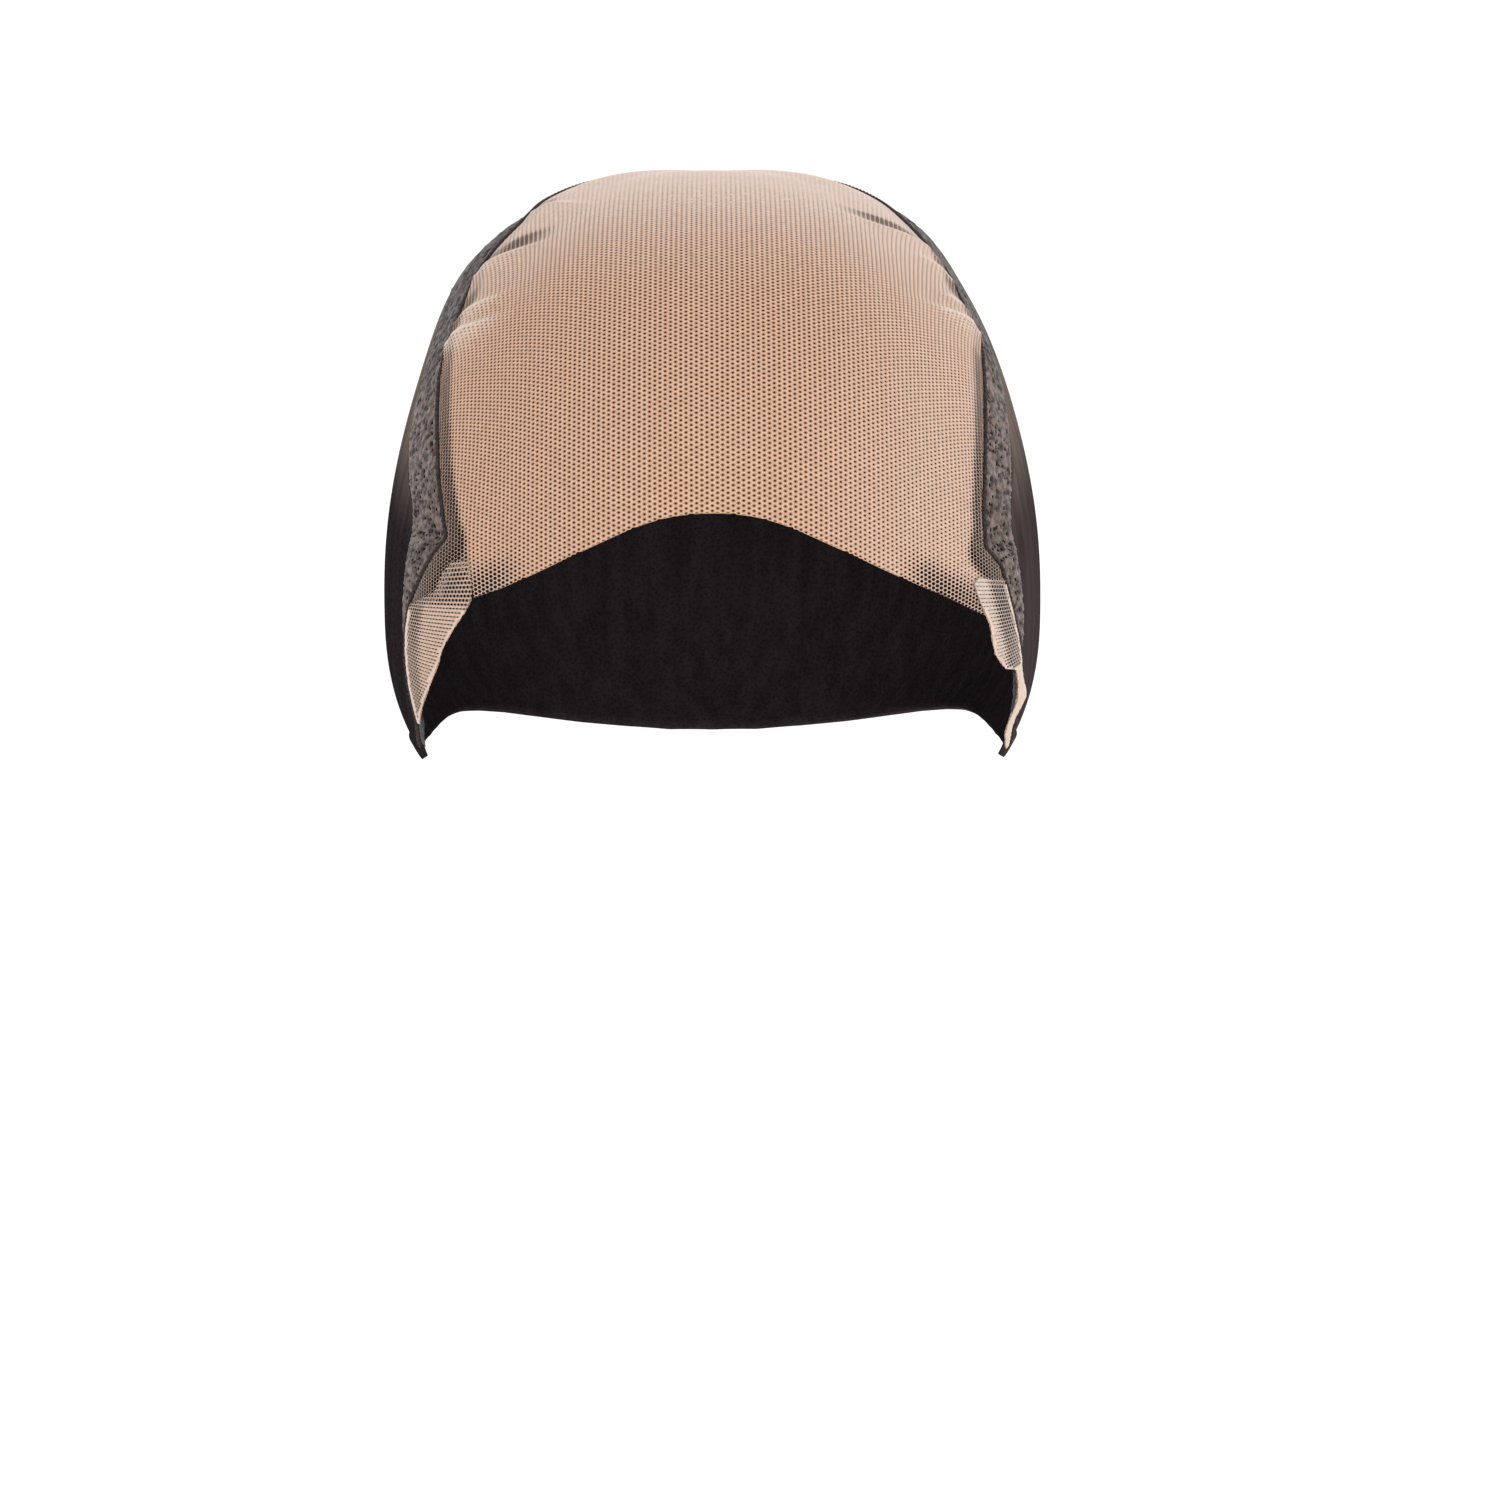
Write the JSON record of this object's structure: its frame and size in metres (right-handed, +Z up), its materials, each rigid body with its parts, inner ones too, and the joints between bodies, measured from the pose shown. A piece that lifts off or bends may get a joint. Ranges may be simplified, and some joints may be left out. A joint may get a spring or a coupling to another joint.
{
  "type": "wig cap",
  "caption": "Lace-front wig cap in its worn form: hexagon-lace front and crown, lace temple tabs, perforated stretch band and a dark stretch-net back.",
  "frame": {"origin": "inside of the crown, where the cap rests on a head", "axes": "+Z up, -Y towards the forehead, +X towards the wearer's left, which is the right of the picture"},
  "size_m": [0.1548, 0.1838, 0.1571],
  "materials": {
    "beige_lace": "beige hexagon net of fine matte thread",
    "grey_band": "grey-brown perforated stretch lace, matte",
    "seam_thread": "dark overlocked thread",
    "dark_net": "near-black stretch net with a slight sheen"
  },
  "bodies": {
    "root": {"lace_front": "beige_lace", "temple_tab_left": "beige_lace", "temple_tab_right": "beige_lace", "stretch_band": "grey_band", "lace_seam": "seam_thread", "back_cap": "dark_net"}
  },
  "joints": []
}
